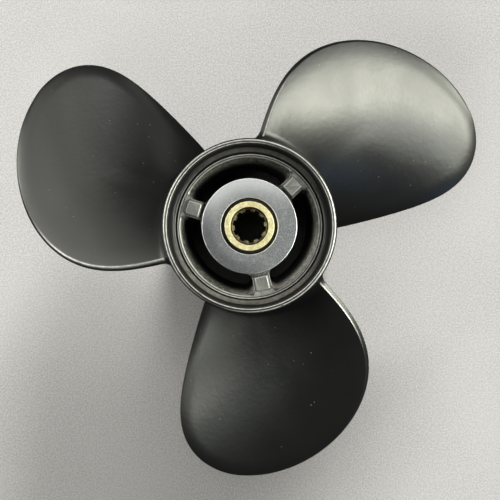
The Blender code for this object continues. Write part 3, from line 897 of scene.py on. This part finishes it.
def brass_surface():
    """Pale where the end was faced, brown and dull inside the bore."""
    mat, tree, shader = material("brass")
    where, z, away = shaft_coords(tree)
    bore = both(
        tree,
        grade(tree, z, up(SLEEVE_FRONT_Z - 0.1), up(SLEEVE_FRONT_Z - 0.35)),
        grade(tree, away, 9.6 * MM, 9.2 * MM),
    )
    blotch = noise(tree, where, 700.0, 4.0, 0.6)
    pale = blend(tree, grade(tree, blotch, 0.3, 0.7), (0.58, 0.51, 0.28, 1.0), (0.84, 0.785, 0.53, 1.0))
    dull = blend(tree, grade(tree, blotch, 0.35, 0.7), (0.07, 0.063, 0.03, 1.0), (0.24, 0.205, 0.115, 1.0))
    tree.links.new(blend(tree, bore, pale, dull), shader.inputs["Base Color"])
    shader.inputs["Metallic"].default_value = 1.0
    tree.links.new(blend(tree, bore, 0.56, 0.5), shader.inputs["Roughness"])
    bump = node(tree, "Bump", {"Height": blotch, "Distance": 0.00003, "Strength": 1.0})
    tree.links.new(bump.outputs[0], shader.inputs["Normal"])
    return mat


def floor_surface():
    mat, tree, shader = material("pale_floor")
    where = node(tree, "TexCoord").outputs["Object"]
    grain = noise(tree, where, 1250.0, 3.0, 0.8)
    cloud = noise(tree, where, 14.0, 2.0)
    fine = blend(tree, grade(tree, grain, 0.35, 0.65), FLOOR_TONE[0], FLOOR_TONE[1])
    tree.links.new(blend(tree, grade(tree, cloud, 0.3, 0.7, 0.0, 0.3), fine, FLOOR_TONE[1]), shader.inputs["Base Color"])
    shader.inputs["Roughness"].default_value = 0.85
    return mat


FLOOR_TONE = ((0.43, 0.427, 0.416, 1.0), (0.67, 0.667, 0.649, 1.0))


def camera_object():
    """Looking down the shaft from about half a metre above the table, a hair off the axis."""
    cx, cy, high = -2.2, -4.0, 508.0
    ax, ay = math.radians(0.908), math.radians(0.334)
    rx = Matrix.Rotation(ax, 3, "X")
    ry = Matrix.Rotation(ay, 3, "Y")
    data = bpy.data.cameras.new("photo_view")
    data.sensor_width = 36.0
    data.lens = 36.0 * 943.4 / 500.0
    data.clip_start = 0.01
    cam = bpy.data.objects.new("photo_view", data)
    bpy.context.scene.collection.objects.link(cam)
    turn = (rx @ ry).transposed().to_4x4()
    cam.matrix_world = Matrix.Translation((cx * MM, cy * MM, (high - CENTROID_Z) * MM)) @ turn
    bpy.context.scene.camera = cam
    return cam


def floor_object():
    z = -CENTROID_Z * MM
    size = 1.6
    n = 8
    work = bmesh.new()
    bmesh.ops.create_grid(work, x_segments=n, y_segments=n, size=size)
    bmesh.ops.translate(work, verts=work.verts, vec=(0, 0, z - 0.00005))
    mesh = bpy.data.meshes.new("floor")
    work.to_mesh(mesh)
    work.free()
    obj = bpy.data.objects.new("floor", mesh)
    bpy.context.scene.collection.objects.link(obj)
    obj.data.materials.append(floor_surface())
    return obj


def area_light(name, azimuth, elevation, size, power, colour=(1.0, 1.0, 1.0), away=1.1, size_y=None):
    a, e = math.radians(azimuth), math.radians(elevation)
    spot = np.array([math.cos(a) * math.cos(e), math.sin(a) * math.cos(e), math.sin(e)]) * away
    data = bpy.data.lights.new(name, "AREA")
    data.shape = "RECTANGLE"
    data.size = size
    data.size_y = size_y or size
    data.energy = power
    data.color = colour
    obj = bpy.data.objects.new(name, data)
    bpy.context.scene.collection.objects.link(obj)
    from mathutils import Vector

    obj.location = Vector(spot)
    obj.rotation_euler = Vector(-spot).to_track_quat("-Z", "Y").to_euler()
    return obj


# azimuth and elevation in degrees, size in metres, watts, colour
OBJECT_LIGHTS = [
    (0.0, 32.0, 0.50, 17.68, (0.986, 1.000, 0.849)),
    (20.0, 8.0, 0.40, 7.95, (0.964, 1.000, 0.842)),
    (337.5, 44.0, 0.50, 6.51, (0.957, 1.000, 0.938)),
    (160.0, 8.0, 0.40, 6.35, (0.957, 1.000, 0.889)),
    (180.0, 44.0, 0.50, 5.89, (1.000, 0.990, 0.942)),
    (20.0, 32.0, 0.50, 4.61, (0.983, 1.000, 0.895)),
    (67.5, 44.0, 0.50, 3.15, (1.000, 0.989, 0.978)),
    (160.0, 32.0, 0.50, 2.87, (1.000, 0.980, 0.887)),
    (180.0, 32.0, 0.50, 2.66, (0.973, 1.000, 0.868)),
    (135.0, 44.0, 0.50, 2.45, (0.964, 1.000, 0.900)),
    (340.0, 32.0, 0.50, 2.11, (1.000, 0.986, 0.795)),
    (90.0, 44.0, 0.50, 1.84, (1.000, 0.983, 0.906)),
    (112.5, 44.0, 0.50, 1.48, (0.986, 1.000, 0.863)),
    (140.0, 20.0, 0.45, 1.18, (0.988, 1.000, 0.864)),
    (202.5, 44.0, 0.50, 1.00, (0.885, 1.000, 0.889)),
    (180.0, 8.0, 0.40, 0.72, (0.968, 1.000, 0.843)),
    (120.0, 20.0, 0.45, 0.68, (0.970, 1.000, 0.887)),
    (60.0, 8.0, 0.40, 0.45, (0.997, 1.000, 0.910)),
    (316.0, 9.0, 0.45, 0.45, (0.30, 0.55, 1.0)),
]
# others that only the ground receives, two of them far and low, for the shadow's direction
FLOOR_LIGHTS = [
    (76.0, 9.0, 0.90, 364.0, (1.0, 0.985, 0.95)),
    (86.0, 9.0, 0.90, 383.0, (1.0, 0.99, 0.965)),
    (270.0, 22.0, 0.80, 6.7, (1.0, 0.99, 0.95)),
    (120.0, 68.0, 1.00, 3.0, (1.0, 0.99, 0.95)),
    (225.0, 42.0, 1.00, 4.5, (1.0, 0.99, 0.95)),
]

camera_object()
casting = make_casting()
bush = make_bush()
sleeve = make_sleeve()

for piece in (casting, bush, sleeve):
    piece.data.materials.clear()
for surface in (black_paint(), turned_metal(), pad_metal()):
    casting.data.materials.append(surface)
for face in casting.data.polygons:
    r = math.hypot(face.center.x, face.center.y) / MM
    z = face.center.z / MM + CENTROID_Z
    on_disc = HOLE_R < r < DISC_R and z > DISC_Z - 0.42
    on_pad = r > DISC_R + 1.0 and r < 29.6 and PAD_Z - 0.3 < z < PAD_Z + 0.1
    face.material_index = 1 if on_disc else 2 if on_pad else 0
bush.data.materials.append(rubber_surface())
sleeve.data.materials.append(brass_surface())

for piece, stands_for, slot in (
    (casting, "cast_propeller", "black_casting"),
    (bush, "rubber_bush", "bush_rubber"),
    (sleeve, "splined_sleeve", "sleeve_brass"),
):
    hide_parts(stands_for)
    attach(piece, "root")

ground = floor_object()
ground.visible_glossy = False  # the photograph's paint doesn't mirror the pale table
scene = bpy.context.scene
scene.view_settings.view_transform = "Standard"
scene.cycles.use_denoising = True
world = bpy.data.worlds.new("soft_room")
scene.world = world
world.use_nodes = True
world.node_tree.nodes["Background"].inputs["Color"].default_value = (1, 1, 1, 1)
world.node_tree.nodes["Background"].inputs["Strength"].default_value = 0.012
for group, lights, seen_by in (
    ("key", OBJECT_LIGHTS, (casting, bush, sleeve)),
    ("ground", FLOOR_LIGHTS, (ground,)),
):
    receivers = bpy.data.collections.new(f"{group}_receivers")
    for obj in seen_by:
        receivers.objects.link(obj)
    for k, (azimuth, elevation, size, power, colour) in enumerate(lights):
        away = 4.0 if power > 100.0 else 1.3
        light = area_light(f"{group}_{k + 1}", azimuth, elevation, size, power, colour, away=away)
        light.light_linking.receiver_collection = receivers
